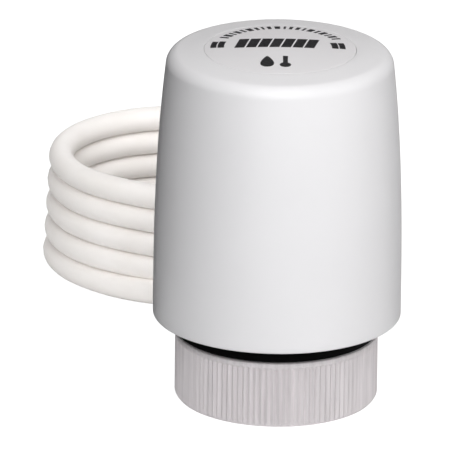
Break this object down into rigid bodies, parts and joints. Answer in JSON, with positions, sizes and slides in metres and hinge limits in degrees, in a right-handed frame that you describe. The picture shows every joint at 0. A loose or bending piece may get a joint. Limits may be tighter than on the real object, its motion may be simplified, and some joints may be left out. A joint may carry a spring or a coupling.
{
  "type": "thermal actuator head",
  "caption": "Wax-element actuator head for a heating valve: domed white casing, knurled union nut under it, rising plunger, and a two-core lead wound in a coil behind it.",
  "frame": {"origin": "centre of the ring nut's lower rim, on the surface that the part stands on", "axes": "+Z along the plunger's axis, from the valve up to the domed top; +Y towards the cable gland"},
  "size_m": [0.0641, 0.12, 0.0652],
  "materials": {
    "white_casing": "satin",
    "cap_film": "satin",
    "black_base": "satin",
    "grey_nut": "satin",
    "inner_plastic": "satin",
    "seal_rubber": "matte",
    "steel": "satin",
    "spring_steel": "satin",
    "brass": "satin",
    "heater_ceramic": "matte",
    "wax": "satin",
    "white_sheath": "satin",
    "brown_core": "satin",
    "blue_core": "satin",
    "tin": "satin"
  },
  "bodies": {
    "head": {"casing": "white_casing", "cap_disc": "cap_film", "base": "black_base", "casing_seal": "seal_rubber", "nut_retaining_ring": "spring_steel", "main_spring": "spring_steel", "spring_seat": "steel", "bridge_frame": "steel", "frame_screw_left": "steel", "frame_screw_right": "steel", "heater_holder": "inner_plastic", "lower_contact": "brass", "ptc_heater": "heater_ceramic", "upper_contact": "brass", "capsule_cup": "brass", "wax_charge": "wax", "capsule_diaphragm": "seal_rubber", "capsule_guide": "brass", "cable_clamp": "inner_plastic", "clamp_screw_left": "steel", "clamp_screw_right": "steel", "core_brown_inner": "brown_core", "core_blue_inner": "blue_core", "cable_entry": "white_sheath", "cable_gland": "white_sheath", "cable_lead": "white_sheath", "cable_coil": "white_sheath", "cable_tail": "white_sheath", "core_brown_end": "brown_core", "core_blue_end": "blue_core", "ferrule_brown": "tin", "ferrule_blue": "tin"},
    "nut": {"ring_nut": "grey_nut"},
    "lifter": {"plunger": "inner_plastic", "plunger_seal": "seal_rubber", "yoke": "inner_plastic"},
    "piston": {"wax_piston": "steel"}
  },
  "joints": [
    {"name": "nut_spin", "type": "hinge", "parent": "head", "child": "nut", "pos_m": [0, 0, 0.006], "axis": [0, 0, 1], "continuous": true},
    {"name": "plunger_lift", "type": "slide", "parent": "head", "child": "lifter", "axis": [0, 0, 1], "range_m": [0, 0.004], "stiffness_N_per_m": 400, "deforming": ["main_spring"]},
    {"name": "piston_lift", "type": "slide", "parent": "head", "child": "piston", "axis": [0, 0, 1], "range_m": [0, 0.004]}
  ],
  "couplings": [
    {"joint": "piston_lift", "follows": "plunger_lift", "ratio": 1}
  ]
}
